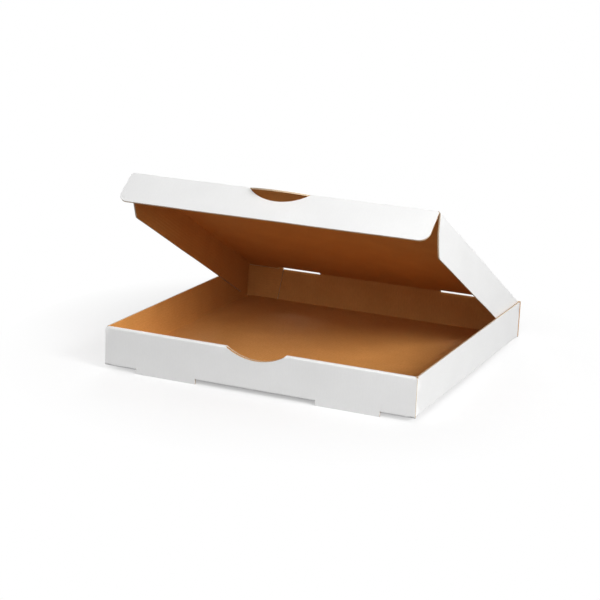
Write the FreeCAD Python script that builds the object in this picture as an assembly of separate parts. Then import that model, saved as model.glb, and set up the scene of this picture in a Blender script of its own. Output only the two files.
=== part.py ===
"""Pizza box with a hinged lid, folded from one die-cut sheet of fine-flute board.

The sheet is white on its outer side and brown inside. Folded up it makes a tray, a lid that
turns on the crease along the top of the back wall, and a tuck flap that turns on the crease
along the front of the lid. Those three move against each other, so each is one solid.

The tray has a double front wall: the board rolls over the rim and runs down inside. Its fold
on the base is cut through at two tongues, which stay in the wall's plane and stand out below,
as feet. They leave slots in the base, and lock tabs on the inner layer's edge stand in those.
Corner flaps of the side walls lie between the two front layers, and against the back wall,
where an ear stands in a hinge slot.
The lid carries two side flaps that drop inside the tray, and a half-moon lip that stays in
the lid's plane where the tuck flap folds down.

Frame: X to the right, Y to the back, Z up. The origin is below the middle of the tray, at the
height of the tongues' ends, which the box stands on. The lid stands part open, as at rest.
"""

import FreeCAD
import Part
import math
import os

V = FreeCAD.Vector

# Outside of the tray, from the base's underside to the rim
BOX_WIDTH = 330.0
BOX_DEPTH = 330.0
WALL_HEIGHT = 40.0

# Board and creases
BOARD = 1.5             # thickness of the board
CREASE_INNER = 0.4      # inside radius of a crease
LAYER_GAP = 0.25        # air between two layers that lie on each other
CUT_GAP = 0.5           # clearance along a cut between two parts of the sheet
HINGE_GAP = 0.2         # clearance between the two round sides of a moving crease

# Front wall of the tray
THUMB_NOTCH_WIDTH = 66.0
THUMB_NOTCH_DEPTH = 10.5
TONGUE_INNER_END = 64.0     # from the middle of the box to a tongue's inner end
TONGUE_WIDTH = 66.0
TONGUE_DROP = 4.0       # how far the tongues stand out below the base
LOCK_TAB_DROP = 2.0     # the same for the lock tabs behind them
LOCK_TAB_SLANT = 3.0    # how much narrower a lock tab is at its end, each side

# Corner flaps of the tray's side walls
FRONT_CORNER_FLAP = 46.0
BACK_CORNER_FLAP = 46.0
CORNER_FLAP_GAP = 0.4   # between a corner flap's foot and the base
BACK_FLAP_SLANT = 6.0   # how much shorter the back flap is at its foot
EAR_WIDTH = 5.0
EAR_RISE = 3.0          # how far the ear stands above the rim
EAR_CORNER = 1.6        # radius of the ear's two top corners

# Slots in the hinge crease, one beside each back corner flap
HINGE_SLOT_VISIBLE = 46.0
HINGE_SLOT_DROP = 2.2   # how far the slot cuts down into the back wall

# Lid
LID_SIDE_GAP = 1.1      # between a side flap and the tray's wall
LID_FRONT_GAP = 1.0     # between the tucked front flap and the tray's front wall
LID_BACK_GAP = 1.0      # between a side flap and the back corner flap
FLOOR_GAP = 0.8         # between the tucked flaps and the tray's base
SIDE_FLAP_BACK_TAPER = 6.0
SIDE_FLAP_NECK = 2.0    # from the lid's front crease to the side flap's front end
SIDE_FLAP_TAPER = 9.0   # how far the front end runs back over its upper part
SIDE_FLAP_SHOULDER = 19.0   # depth where the front end turns to its bevel
SIDE_FLAP_SOFTEN = 6.0  # radius of the rounded corners of the side flap's front end
LIP_WIDTH = 63.0
LIP_DEPTH = 12.5
FLAP_CORNER = 10.0      # radius of the tuck flap's free corners
FLAP_END_GAP = 0.6      # between the tuck flap's end and the lid's outer edge

# Pose at rest
LID_OPEN = 27.5         # angle of the lid above closed
FLAP_FLARE = 25.0       # angle of the tuck flap out from square to the lid

# Levels and planes that follow from the sizes above
HALF = BOARD / 2
CREASE_MID = CREASE_INNER + HALF
CREASE_OUTER = CREASE_INNER + BOARD
LAYER_STEP = BOARD + LAYER_GAP
SIDE = BOX_WIDTH / 2
FRONT = -BOX_DEPTH / 2
BACK = BOX_DEPTH / 2
BASE_LOW = TONGUE_DROP
BASE_TOP = BASE_LOW + BOARD
RIM = BASE_LOW + WALL_HEIGHT
INNER_LAYER_Y = FRONT + HALF + 2 * LAYER_STEP
FRONT_INSIDE = INNER_LAYER_Y + HALF
FRONT_FLAP_Y = FRONT + HALF + LAYER_STEP
BACK_FLAP_Y = BACK - HALF - LAYER_STEP
BACK_FLAP_INSIDE = BACK_FLAP_Y - HALF
FLAP_TOP = RIM - BOARD - LAYER_GAP
SIDE_INSIDE = SIDE - BOARD
ROLL_HALF_WIDTH = SIDE_INSIDE - CUT_GAP
ROLL_FOOT = BASE_TOP + LAYER_GAP
TONGUE_OUTER_END = TONGUE_INNER_END + TONGUE_WIDTH
FRONT_FOLD_TOP = BASE_LOW + CREASE_OUTER
FRONT_FOLD_BACK = FRONT + CREASE_OUTER
LOCK_SLOT_BACK = FRONT_FOLD_BACK + FRONT_FOLD_TOP - CREASE_MID * math.pi / 2

# Hinge crease of the lid, on the back wall's top edge
HINGE_Y = BACK - HALF
HINGE_Z = RIM - HALF
LID_SIDE = SIDE_INSIDE - LID_SIDE_GAP
FOLD_Y = FRONT_INSIDE + LID_FRONT_GAP + HALF
FLAP_START = HALF + HINGE_GAP
SIDE_FLAP_LOW = BASE_TOP + FLOOR_GAP

# Ear and hinge slot, measured out from the middle of the box
BACK_FLAP_END = SIDE - BACK_CORNER_FLAP
SLOT_OUTER = BACK_FLAP_END + EAR_WIDTH + CUT_GAP
SLOT_INNER = BACK_FLAP_END - HINGE_SLOT_VISIBLE
EAR_REACH = math.hypot(HINGE_Y - BACK_FLAP_INSIDE, RIM + EAR_RISE - HINGE_Z)
LID_SLOT_DEPTH = EAR_REACH + CUT_GAP

FAR = 4 * (BOX_WIDTH + BOX_DEPTH + WALL_HEIGHT)     # longer than the box, for open-ended cuts


def across(y, z):
    """A point of a section that is drawn from front to back and pushed out along X."""
    return V(0, y, z)


def along(x, z):
    """A point of a section that is drawn from side to side and pushed out along Y."""
    return V(x, 0, z)


def plan(x, y):
    """A point of a section that is drawn from above and pushed out along Z."""
    return V(x, y, 0)


def folded_section(place, start, heading, moves, round_end=False):
    """Section of the board along a path of flats and creases through its middle.

    moves holds ("flat", length) and ("crease", degrees), a crease to the left being positive.
    round_end closes the last flat with a half circle, as the moving side of a hinge crease.
    """
    x, y = start
    angle = math.radians(heading)
    left, right = [], []

    def offset(px, py, a, side):
        return place(px - side * HALF * math.sin(a), py + side * HALF * math.cos(a))

    for kind, size in moves:
        if kind == "flat":
            nx, ny = x + size * math.cos(angle), y + size * math.sin(angle)
            for side, edges in ((1, left), (-1, right)):
                edges.append(Part.makeLine(offset(x, y, angle, side), offset(nx, ny, angle, side)))
            x, y = nx, ny
            continue
        turn = math.radians(size)
        way = 1 if size > 0 else -1
        cx = x - way * CREASE_MID * math.sin(angle)
        cy = y + way * CREASE_MID * math.cos(angle)
        stops = [angle + turn * share for share in (0, 0.5, 1)]
        mids = [(cx + way * CREASE_MID * math.sin(a), cy - way * CREASE_MID * math.cos(a)) for a in stops]
        for side, edges in ((1, left), (-1, right)):
            ends = [offset(px, py, a, side) for (px, py), a in zip(mids, stops)]
            edges.append(Part.Arc(*ends).toShape())
        (x, y), angle = mids[2], stops[2]

    first, last = left[0].Vertexes[0].Point, left[-1].Vertexes[-1].Point
    first_r, last_r = right[0].Vertexes[0].Point, right[-1].Vertexes[-1].Point
    tip = place(x + HALF * math.cos(angle), y + HALF * math.sin(angle))
    end = Part.Arc(last, tip, last_r).toShape() if round_end else Part.makeLine(last, last_r)
    edges = left + [end] + right[::-1] + [Part.makeLine(first_r, first)]
    return Part.Face(Part.Wire(Part.sortEdges(edges)[0]))


def pushed(face, way, low, high):
    """A section pushed out from low to high along the unit vector way."""
    face.translate(way * low)
    return face.extrude(way * (high - low))


def block(x, y, z):
    """A box given by its (low, high) pair on each axis."""
    return Part.makeBox(x[1] - x[0], y[1] - y[0], z[1] - z[0], V(x[0], y[0], z[0]))


def both_sides(shape):
    """The shape and its mirror image on the other side of the box."""
    return [shape, shape.mirror(V(0, 0, 0), V(1, 0, 0))]


def without(shape, tools):
    """The shape with each tool cut away in turn."""
    for tool in tools:
        shape = shape.cut(tool)
    return shape


def segment_disc(width, depth, grow=0.0):
    """Radius, and distance of the centre behind the chord, of a circular segment."""
    radius = (width * width / 4 + depth * depth) / (2 * depth)
    return radius + grow, radius - depth


def spine():
    """Front wall with its roll-over, base and back wall: one strip of the sheet from end to end."""
    wall = RIM - CREASE_OUTER
    section = folded_section(
        across,
        (INNER_LAYER_Y, ROLL_FOOT),
        90,
        [
            ("flat", wall - ROLL_FOOT),
            ("crease", 90),
            ("flat", 2 * LAYER_STEP - 2 * CREASE_MID),
            ("crease", 90),
            ("flat", wall - BASE_LOW - CREASE_OUTER),
            ("crease", 90),
            ("flat", BOX_DEPTH - 2 * CREASE_OUTER),
            ("crease", 90),
            ("flat", HINGE_Z - BASE_LOW - CREASE_OUTER),
        ],
        round_end=True,
    )
    strip = pushed(section, V(1, 0, 0), -SIDE, SIDE)
    base_edge = block(
        (SIDE - CREASE_OUTER, FAR),
        (FRONT + CREASE_OUTER, BACK - CREASE_OUTER),
        (-FAR, BASE_TOP + LAYER_GAP / 2),
    )
    roll_end = block((ROLL_HALF_WIDTH, FAR), (FRONT + BOARD, FRONT_INSIDE + HALF), (ROLL_FOOT - LAYER_GAP / 2, FAR))
    return without(strip, both_sides(base_edge) + both_sides(roll_end))


def tongue():
    """Right tongue: the front wall's own board, running straight down past the base."""
    return block(
        (TONGUE_INNER_END, TONGUE_OUTER_END),
        (FRONT, FRONT + BOARD),
        (0, FRONT_FOLD_TOP + BOARD),
    )


def lock_slot():
    """Where the right tongue lies in the flat sheet: a gap in the front fold and a slot in the base."""
    width = (TONGUE_INNER_END - CUT_GAP, TONGUE_OUTER_END + CUT_GAP)
    fold = block(width, (FRONT - BOARD, FRONT_FOLD_BACK), (0, FRONT_FOLD_TOP))
    slot = block(width, (FRONT_FOLD_BACK, LOCK_SLOT_BACK), (0, BASE_TOP + LAYER_GAP / 2))
    return [fold, slot]


def lock_tab():
    """Right lock tab, on the foot of the front wall's inner layer."""
    inner, outer = TONGUE_INNER_END, TONGUE_OUTER_END
    layer_y = INNER_LAYER_Y - HALF
    tab_low = BASE_LOW - LOCK_TAB_DROP
    corners = [
        V(inner, layer_y, ROLL_FOOT + BOARD),
        V(inner, layer_y, BASE_LOW),
        V(inner + LOCK_TAB_SLANT, layer_y, tab_low),
        V(outer - LOCK_TAB_SLANT, layer_y, tab_low),
        V(outer, layer_y, BASE_LOW),
        V(outer, layer_y, ROLL_FOOT + BOARD),
    ]
    return Part.Face(Part.makePolygon(corners + corners[:1])).extrude(V(0, BOARD, 0))


def thumb_notch():
    """Round notch in the rim of the front wall, through both layers."""
    radius, behind = segment_disc(THUMB_NOTCH_WIDTH, THUMB_NOTCH_DEPTH)
    wall = FRONT_INSIDE - FRONT
    return Part.makeCylinder(radius, wall + BOARD, V(0, FRONT - HALF, RIM + behind), V(0, 1, 0))


def side_wall():
    """Right side wall with its crease on the base's edge."""
    overlap = BOARD
    section = folded_section(
        along,
        (SIDE - CREASE_OUTER - overlap, BASE_LOW + HALF),
        0,
        [("flat", overlap), ("crease", 90), ("flat", WALL_HEIGHT - CREASE_OUTER)],
    )
    front_end = FRONT_FLAP_Y + CREASE_MID
    back_end = BACK_FLAP_Y - CREASE_MID
    return pushed(section, V(0, 1, 0), front_end, back_end)


def corner_flap(flap_y, reach, way):
    """A flap of the right side wall, turned in along the front (way -1) or the back wall (way 1)."""
    bend_start = flap_y - way * CREASE_MID
    section = folded_section(
        plan,
        (SIDE - HALF, bend_start - way * BOARD),
        90 * way,
        [("flat", BOARD), ("crease", 90 * way), ("flat", reach - HALF - CREASE_MID)],
    )
    return pushed(section, V(0, 0, 1), BASE_TOP + CORNER_FLAP_GAP, FLAP_TOP)


def back_corner_flap():
    """Back corner flap with its slanted free end and the ear that stands in the hinge slot."""
    flap = corner_flap(BACK_FLAP_Y, BACK_CORNER_FLAP, 1)
    foot = BASE_TOP
    corners = [
        V(BACK_FLAP_END, BACK_FLAP_INSIDE, FLAP_TOP),
        V(BACK_FLAP_END + BACK_FLAP_SLANT, BACK_FLAP_INSIDE, foot),
        V(BACK_FLAP_END - BOARD, BACK_FLAP_INSIDE, foot),
        V(BACK_FLAP_END - BOARD, BACK_FLAP_INSIDE, FLAP_TOP),
    ]
    slant = Part.Face(Part.makePolygon(corners + corners[:1])).extrude(V(0, BOARD, 0))
    ear = block(
        (BACK_FLAP_END, BACK_FLAP_END + EAR_WIDTH),
        (BACK_FLAP_INSIDE, BACK_FLAP_INSIDE + BOARD),
        (FLAP_TOP - BOARD, RIM + EAR_RISE),
    )
    soft_edges = [e for e in ear.Edges if e.BoundBox.ZMin > RIM and e.BoundBox.YLength > HALF]
    ear = ear.makeFillet(EAR_CORNER, soft_edges)
    return flap.cut(slant).fuse(ear)


def tray_hinge_slot():
    """The hinge slot's share of the back wall."""
    return block((SLOT_INNER, SLOT_OUTER), (BACK - BOARD - HALF, FAR), (RIM - HINGE_SLOT_DROP, FAR))


def tray():
    """Base, four walls and corner flaps, as one folded sheet."""
    back_slots = [
        slot.common(block((-FAR, FAR), (BACK - BOARD - LAYER_GAP / 2, FAR), (0, FAR)))
        for slot in both_sides(tray_hinge_slot())
    ]
    lock_slots = [half for part in lock_slot() for half in both_sides(part)]
    strip = without(spine(), lock_slots + [thumb_notch()] + back_slots)
    pieces = both_sides(tongue()) + both_sides(lock_tab()) + both_sides(side_wall())
    pieces += both_sides(corner_flap(FRONT_FLAP_Y, FRONT_CORNER_FLAP, -1))
    pieces += both_sides(back_corner_flap())
    return strip.fuse(pieces).removeSplitter()


def side_flap_outline():
    """Outline of a lid side flap in the closed lid, seen from the side, as a face."""
    back_y = BACK_FLAP_INSIDE - LID_BACK_GAP
    front_y = FOLD_Y + SIDE_FLAP_NECK
    top = RIM
    shoulder_z = RIM - SIDE_FLAP_SHOULDER
    bevel = shoulder_z - SIDE_FLAP_LOW
    points = [
        V(0, back_y, top),
        V(0, back_y - SIDE_FLAP_BACK_TAPER, SIDE_FLAP_LOW),
        V(0, front_y + SIDE_FLAP_TAPER + bevel, SIDE_FLAP_LOW),
        V(0, front_y + SIDE_FLAP_TAPER, shoulder_z),
        V(0, front_y, top),
    ]
    plate = Part.Face(Part.makePolygon(points + points[:1])).extrude(V(FAR, 0, 0))
    plate.translate(V(-FAR / 2, 0, 0))
    corners = [
        e
        for e in plate.Edges
        if e.BoundBox.XLength > FAR / 2
        and e.BoundBox.YMax < back_y - SIDE_FLAP_BACK_TAPER - BOARD
        and e.BoundBox.ZMax < top - BOARD
    ]
    return plate.makeFillet(SIDE_FLAP_SOFTEN, corners)


def lip(grow=0.0):
    """Half-moon in the closed lid's plane, ahead of the front crease."""
    radius, behind = segment_disc(LIP_WIDTH, LIP_DEPTH, grow)
    disc = Part.makeCylinder(radius, BOARD, V(0, FOLD_Y + behind, HINGE_Z - HALF), V(0, 0, 1))
    return disc.common(block((-FAR, FAR), (-FAR, FOLD_Y), (0, FAR)))


def closed_lid():
    """Lid panel, side flaps and lip, in the closed position."""
    drop = HINGE_Z - CREASE_MID - SIDE_FLAP_LOW
    section = folded_section(
        along,
        (-LID_SIDE + HALF, SIDE_FLAP_LOW),
        90,
        [
            ("flat", drop),
            ("crease", -90),
            ("flat", 2 * (LID_SIDE - CREASE_OUTER)),
            ("crease", -90),
            ("flat", drop),
        ],
    )
    panel = pushed(section, V(0, 1, 0), FOLD_Y, HINGE_Y - FLAP_START)
    below_panel = block((-FAR, FAR), (-FAR, FAR), (-FAR, RIM - BOARD))
    flap_waste = below_panel.cut(side_flap_outline())
    nose_length = 2 * (LID_SIDE - CREASE_OUTER)
    nose = Part.makeCylinder(HALF, nose_length, V(-nose_length / 2, FOLD_Y, HINGE_Z), V(1, 0, 0))
    slots = both_sides(block((SLOT_INNER, SLOT_OUTER), (HINGE_Y - LID_SLOT_DEPTH, FAR), (0, FAR)))
    return without(panel, [flap_waste] + slots).fuse([nose, lip()]).removeSplitter()


def square_flap():
    """Tuck flap standing square to the closed lid, with the notch that the lip leaves in it."""
    reach = HINGE_Z - SIDE_FLAP_LOW
    half_width = LID_SIDE - FLAP_END_GAP
    sheet = block((-half_width, half_width), (FOLD_Y - reach, FOLD_Y - FLAP_START), (HINGE_Z - HALF, HINGE_Z + HALF))
    free_corners = [
        e for e in sheet.Edges if e.BoundBox.ZLength > HALF and e.BoundBox.YMax < FOLD_Y - reach / 2
    ]
    sheet = sheet.makeFillet(FLAP_CORNER, free_corners)
    radius, behind = segment_disc(LIP_WIDTH, LIP_DEPTH, CUT_GAP)
    notch = Part.makeCylinder(radius, 2 * BOARD, V(0, FOLD_Y + behind, HINGE_Z - BOARD), V(0, 0, 1))
    sheet = sheet.cut(notch)
    sheet.rotate(V(0, FOLD_Y, HINGE_Z), V(1, 0, 0), 90)
    return sheet


def open_lid(shape):
    """Turns a shape of the closed lid about the hinge crease to the lid's rest angle."""
    shape.rotate(V(0, HINGE_Y, HINGE_Z), V(1, 0, 0), -LID_OPEN)
    return shape


def front_flap():
    """Tuck flap at rest: flared out from the lid, and raised with it."""
    flap = square_flap()
    flap.rotate(V(0, FOLD_Y, HINGE_Z), V(1, 0, 0), -FLAP_FLARE)
    return open_lid(flap)


def main():
    os.makedirs("parts", exist_ok=True)
    for name, shape in (("tray", tray()), ("lid", open_lid(closed_lid())), ("front_flap", front_flap())):
        print(name, len(shape.Solids), "solid,", round(shape.Volume), "mm3, valid:", shape.isValid())
        shape.Solids[0].exportStep("parts/" + name + ".step")


main()
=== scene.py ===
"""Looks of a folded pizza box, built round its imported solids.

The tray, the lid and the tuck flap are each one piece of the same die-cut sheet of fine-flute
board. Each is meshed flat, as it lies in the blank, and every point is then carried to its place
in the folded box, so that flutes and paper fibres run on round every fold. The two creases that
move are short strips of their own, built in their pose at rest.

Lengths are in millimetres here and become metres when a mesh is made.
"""

import math

import bmesh
import bpy
import numpy as np
from mathutils import Matrix, Vector, geometry, noise


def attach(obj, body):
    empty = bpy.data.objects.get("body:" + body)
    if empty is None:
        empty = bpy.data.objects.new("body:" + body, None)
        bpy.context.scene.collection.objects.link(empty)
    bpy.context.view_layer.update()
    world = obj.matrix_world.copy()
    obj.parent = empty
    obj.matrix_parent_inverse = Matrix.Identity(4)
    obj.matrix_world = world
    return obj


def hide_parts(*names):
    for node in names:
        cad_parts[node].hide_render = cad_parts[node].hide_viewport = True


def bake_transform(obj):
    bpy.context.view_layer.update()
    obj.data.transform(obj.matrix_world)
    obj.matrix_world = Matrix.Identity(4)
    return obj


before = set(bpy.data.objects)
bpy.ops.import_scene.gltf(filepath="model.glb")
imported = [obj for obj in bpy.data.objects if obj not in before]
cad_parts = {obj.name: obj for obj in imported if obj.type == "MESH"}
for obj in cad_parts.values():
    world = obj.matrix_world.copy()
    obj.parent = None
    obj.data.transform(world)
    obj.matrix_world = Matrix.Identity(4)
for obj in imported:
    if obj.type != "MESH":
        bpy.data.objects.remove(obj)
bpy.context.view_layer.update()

METRE = 0.001

# Outside of the tray, and the board
SIDE = 165.0
BACK = 165.0
FRONT = -165.0
BASE_LOW = 4.0          # underside of the base, above the ends of the front tongues
RIM = 44.0              # top of the tray's walls
BOARD = 1.5
CREASE_INNER = 0.4      # inside radius of a crease
LAYER_GAP = 0.25        # air between two layers that lie on each other
CUT_GAP = 0.5           # clearance along a cut between two parts of the sheet
HINGE_GAP = 0.2         # a moving crease reaches this much further from its axis than half a board

# Front wall of the tray
THUMB_NOTCH_WIDTH = 66.0
THUMB_NOTCH_DEPTH = 10.5
TONGUE = (64.0, 130.0)  # its two ends, from the middle of the box
LOCK_TAB_DROP = 2.0
LOCK_TAB_SLANT = 3.0

# Corner flaps of the side walls, and the hinge slots that the back ones' ears stand in
CORNER_FLAP = 46.0
CORNER_FLAP_GAP = 0.4
BACK_FLAP_SLANT = 6.0
EAR_WIDTH = 5.0
EAR_RISE = 3.0
EAR_CORNER = 1.6
HINGE_SLOT_VISIBLE = 46.0
HINGE_SLOT_DROP = 2.2
LID_SLOT_DEPTH = 5.007  # clears the ear's corner when the lid turns
HINGE_END_GAP = 0.3     # between the end of the hinge crease and the back wall's shoulder

# Lid and tuck flap
LID_SIDE_GAP = 1.1
LID_FRONT_GAP = 1.0
LID_BACK_GAP = 1.0
FLOOR_GAP = 0.8
SIDE_FLAP_NECK = 2.0
SIDE_FLAP_TAPER = 9.0
SIDE_FLAP_SHOULDER = 19.0
SIDE_FLAP_BACK_TAPER = 6.0
SIDE_FLAP_SOFTEN = 6.0
LIP_WIDTH = 63.0
LIP_DEPTH = 12.5
LIP_ROOT_SPREAD = 0.1   # how much wider the lip's root is than its chord, each side
FLAP_CORNER = 10.0
FLAP_END_GAP = 0.6

# Pose at rest
LID_OPEN = 27.5
FLAP_FLARE = 25.0

# How soft board departs from flat panels
LIP_DROOP = 0.19        # slope of the lip below the lid's plane
FRONT_KINK = 0.15       # how far the front wall is pressed in, up to the right tongue
KINK_BELOW_RIM = 8.0    # where the kink is full, below the rim and above the foot
KINK_ABOVE_FOOT = 4.0
KINK_END = 3.0          # how far the kink runs on past the tongue's inner end
KINK_FADE = 6.0         # the last stretch of it, over which it fades
BASE_RELIEF = 0.55
FRONT_RELIEF = 0.07
WALL_RELIEF = 0.3
LID_RELIEF = 0.8
FLAP_RELIEF = 0.5
PANEL_REACH = 28.0      # distance from a fold at which a panel is free to sink in
WALL_REACH = 14.0
FLAP_REACH = 20.0
WAVE_LENGTH = 95.0
FINE_WAVE = 2.3         # how much shorter the finer waves are
FINE_SHARE = 0.4
WAVE_TOP = 0.6          # height of the waves above which a panel stays flat

# Make-up of the board
FLUTE_PITCH = 3.3
LINER = 0.18            # thickness of each of the two liners

# Levels and planes that follow from the sizes above
HALF = BOARD / 2
BASE_TOP = BASE_LOW + BOARD
CREASE_MID = CREASE_INNER + HALF
CREASE_OUTER = CREASE_INNER + BOARD
CREASE_ARC = CREASE_MID * math.pi / 2
LAYER_STEP = BOARD + LAYER_GAP
INNER_LAYER_Y = FRONT + HALF + 2 * LAYER_STEP
FRONT_INSIDE = INNER_LAYER_Y + HALF
ROLL_FOOT = BASE_TOP + LAYER_GAP
ROLL_HALF_WIDTH = SIDE - BOARD - CUT_GAP
LOCK_TAB_LOW = BASE_LOW - LOCK_TAB_DROP
FRONT_FOLD_TOP = BASE_LOW + CREASE_OUTER
LOCK_SLOT_BACK = FRONT + CREASE_OUTER + FRONT_FOLD_TOP - CREASE_ARC
CORNER_FLAP_LOW = BASE_TOP + CORNER_FLAP_GAP
CORNER_FLAP_TOP = RIM - BOARD - LAYER_GAP
CORNER_FOLD = SIDE - HALF - LAYER_STEP - CREASE_MID
CORNER_FLAP_END = SIDE - CORNER_FLAP
EAR_TOP = RIM + EAR_RISE
HINGE_Y = BACK - HALF
HINGE_Z = RIM - HALF
SLOT_INNER = CORNER_FLAP_END - HINGE_SLOT_VISIBLE
SLOT_OUTER = CORNER_FLAP_END + EAR_WIDTH + CUT_GAP
SLOT_FOOT = RIM - HINGE_SLOT_DROP
CREASE_REACH = HALF + HINGE_GAP
LID_SIDE = SIDE - BOARD - LID_SIDE_GAP
LID_EDGE = LID_SIDE - CREASE_OUTER
FOLD_Y = FRONT_INSIDE + LID_FRONT_GAP + HALF
SIDE_FLAP_LOW = BASE_TOP + FLOOR_GAP
FLAP_HALF_WIDTH = LID_SIDE - FLAP_END_GAP

# Mesh fineness and limits
GRID = 8.0
CREASE_STEPS = 6
ROUND_STEPS = 8         # over the white side of a moving crease
ARC_STEPS = 40          # over half the lip or half a notch
CORNER_STEPS = 8
EAR_STEPS = 6
STUB = 1e-6             # a flat too short to see, ahead of a crease
FOLD_MARGIN = 0.6       # a mesh line lies this far on either side of a fold
TONGUE_LINE = 3.0       # a mesh line lies this far down a tongue
LINE_SPACE = 0.3        # least share of the grid between two lines
EDGE_SPACE = 0.22       # least share of the grid between a grid point and an edge
SHORTEST = 0.02         # shortest piece of an edge
LEVEL = 1e-9            # an edge that changes less than this crosses no line
POINT = 1e-12           # an edge with a smaller square than this is only a point
SLIVER = 1e-5           # a triangle below this share of its side's square is only a line
TOUCH = 1e-5            # closer than this, flat points count as one
WELD = 0.004            # closer than this, points of the folded sheet become one
SHARP_ANGLE = 45.0      # in degrees

# Skins of a sheet, in the order of its material slots
SKINS = ("white_liner", "brown_liner", "cut_edge")
WHITE, BROWN, CUT = range(3)

# Colours of the paper
BLEACHED = ((0.845, 0.845, 0.842), (0.875, 0.875, 0.872))
BLEACHED_FIBRE = (0.79, 0.785, 0.775)
KRAFT = ((0.60, 0.272, 0.066), (0.68, 0.318, 0.084))
KRAFT_FIBRE = (0.53, 0.23, 0.052)
KRAFT_FLECK = (0.38, 0.155, 0.035)
KRAFT_FLUTE = (0.43, 0.185, 0.042)
MEDIUM = ((0.76, 0.62, 0.45), (0.84, 0.72, 0.56))
# painted shade inside the open flutes of a cut edge
HOLLOW_SHADE = (0.48, 0.34, 0.20)
CUT_BLEACHED = (0.82, 0.80, 0.77)

# Floor, light and camera
FLOOR_SEEN = ((0.92, 0.92, 0.92), (0.96, 0.96, 0.96))
FLOOR_BOUNCE = (0.27, 0.27, 0.27)
FLOOR_SIZE = 6.0                # in metres
FLOOR_FADE = (0.17, 0.34)       # distances between which the floor turns white, in metres
FLOOR_WHITE = (0.42, 1.0)       # shares of white at those distances
ROOM_LIGHT = 0.065
LAMP_DISTANCE = 2.4             # in metres
LAMP_AIM = 0.08                 # height that the lamps face, in metres
CAMERA_AZIMUTH = 23.26
CAMERA_ELEVATION = 14.52
CAMERA_ROLL = 2.46
CAMERA_PLACE = (654.73, -1585.47, 501.41)
CAMERA_FOCUS = 1700.09          # in pixels of the photograph
PHOTO_WIDTH = 600
SENSOR = 36.0


class Path:
    """Middle line of a folded strip: straight runs and round creases, measured along it."""

    def __init__(self, start, heading, moves, origin=0.0, outer=1):
        """moves holds ("flat", length) and ("crease", degrees), a crease to the left being positive.

        outer is 1 where the white side is on the right, and -1 where it is on the left.
        """
        self.outer = outer
        self.runs = []
        self.folds = []
        x, y = start
        angle = math.radians(heading)
        at = origin
        for kind, size in moves:
            turn = 0.0 if kind == "flat" else math.radians(size)
            length = size if kind == "flat" else CREASE_MID * abs(turn)
            self.runs.append((at, length, x, y, angle, turn))
            if turn:
                self.folds.append((at, at + length))
            x, y, angle = self.step(length, length, x, y, angle, turn)
            at += length
        self.low = origin
        self.high = at

    @staticmethod
    def step(distance, length, x, y, angle, turn):
        """Point and heading after going a distance along a run."""
        if not turn:
            return x + distance * math.cos(angle), y + distance * math.sin(angle), angle
        way = 1 if turn > 0 else -1
        there = angle + turn * distance / length
        cx = x - way * CREASE_MID * math.sin(angle)
        cy = y + way * CREASE_MID * math.cos(angle)
        return cx + way * CREASE_MID * math.sin(there), cy - way * CREASE_MID * math.cos(there), there

    def at(self, distance, through):
        """Point at a distance along the path and a height through the board, towards its white side."""
        run = self.runs[0]
        for candidate in self.runs[1:]:
            if distance >= candidate[0]:
                run = candidate
        start, length, x, y, angle, turn = run
        x, y, angle = self.step(distance - start, length, x, y, angle, turn)
        off = self.outer * through
        return x + off * math.sin(angle), y - off * math.cos(angle)


def fold_lines(folds):
    """Coordinates at which a mesh needs lines, to be round over its folds."""
    lines = []
    for low, high in folds:
        lines += [low + (high - low) * i / CREASE_STEPS for i in range(CREASE_STEPS + 1)]
        lines += [low - FOLD_MARGIN, high + FOLD_MARGIN]
    return lines


def grid_lines(low, high, fine=()):
    """Evenly spread coordinates between low and high, with the fine ones among them."""
    count = max(1, round((high - low) / GRID))
    even = [low + (high - low) * i / count for i in range(1, count)]
    fine = sorted({round(f, 6) for f in fine if low < f < high})
    return sorted(fine + [e for e in even if all(abs(e - f) > LINE_SPACE * GRID for f in fine)])


def crossings(p, q, us, vs):
    """Where the straight edge from p to q crosses the grid lines, as points in order."""
    found = []
    length = math.dist(p, q)
    for axis, lines in ((0, us), (1, vs)):
        span = q[axis] - p[axis]
        if abs(span) < LEVEL:
            continue
        for line in lines:
            share = (line - p[axis]) / span
            if SHORTEST / length < share < 1 - SHORTEST / length:
                found.append(share)
    kept = []
    for share in sorted(found):
        if not kept or (share - kept[-1]) * length > SHORTEST:
            kept.append(share)
    return [tuple(p[k] + (q[k] - p[k]) * share for k in (0, 1)) for share in kept]


def inside(points, loops):
    """Which points lie inside the outline and outside the holes."""
    result = np.zeros(len(points), bool)
    for loop in loops:
        ring = np.array(loop)
        for (x1, y1), (x2, y2) in zip(ring, np.roll(ring, -1, axis=0)):
            if y1 == y2:
                continue
            rows = (points[:, 1] > min(y1, y2)) & (points[:, 1] <= max(y1, y2))
            at = x1 + (points[:, 1] - y1) * (x2 - x1) / (y2 - y1)
            result ^= rows & (points[:, 0] < at)
    return result


def near_edge(points, loops, distance):
    """Which points lie closer than a distance to an edge of the loops."""
    result = np.zeros(len(points), bool)
    for loop in loops:
        ring = np.array(loop)
        for a, b in zip(ring, np.roll(ring, -1, axis=0)):
            along = b - a
            size = along @ along
            share = np.clip((points - a) @ along / max(size, POINT), 0, 1)
            result |= np.linalg.norm(points - a - share[:, None] * along, axis=1) < distance
    return result


def has_area(spots, triangles):
    """Which triangles aren't just three points on a line."""
    a, b, c = (spots[triangles[:, k]] for k in (0, 1, 2))
    ab, ac = b - a, c - a
    area = np.abs(ab[:, 0] * ac[:, 1] - ab[:, 1] * ac[:, 0]) / 2
    return area > SLIVER * np.maximum((ab**2).sum(axis=1), (ac**2).sum(axis=1))


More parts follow.
